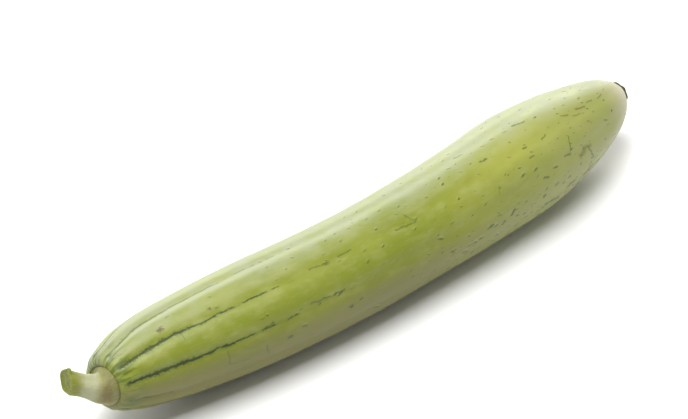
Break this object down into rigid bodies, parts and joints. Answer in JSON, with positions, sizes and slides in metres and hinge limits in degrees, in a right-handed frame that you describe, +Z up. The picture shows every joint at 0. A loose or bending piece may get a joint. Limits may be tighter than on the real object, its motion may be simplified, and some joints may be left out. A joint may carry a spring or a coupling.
{
  "type": "smooth sponge gourd",
  "caption": "Long bowed green gourd with shallow furrows, a curved cut stem stub and a dried blossom scar, lying on its belly.",
  "frame": {"origin": "on the surface it lies on, under the middle of its bounding box", "axes": "+X along the gourd towards the blossom end, +Z up; the belly bows towards -Y"},
  "size_m": [0.3636, 0.0614, 0.0544],
  "materials": {
    "skin": "fresh waxy green skin, satin, mottled yellow-green with dark green furrow lines",
    "stem_skin": "pale green woody stem, matte, olive at the cut and tan at the collar",
    "scar_crust": "dark green dried blossom scar, matte and rough"
  },
  "bodies": {
    "root": {"fruit": "skin", "stem": "stem_skin", "blossom_scar": "scar_crust"}
  },
  "joints": []
}
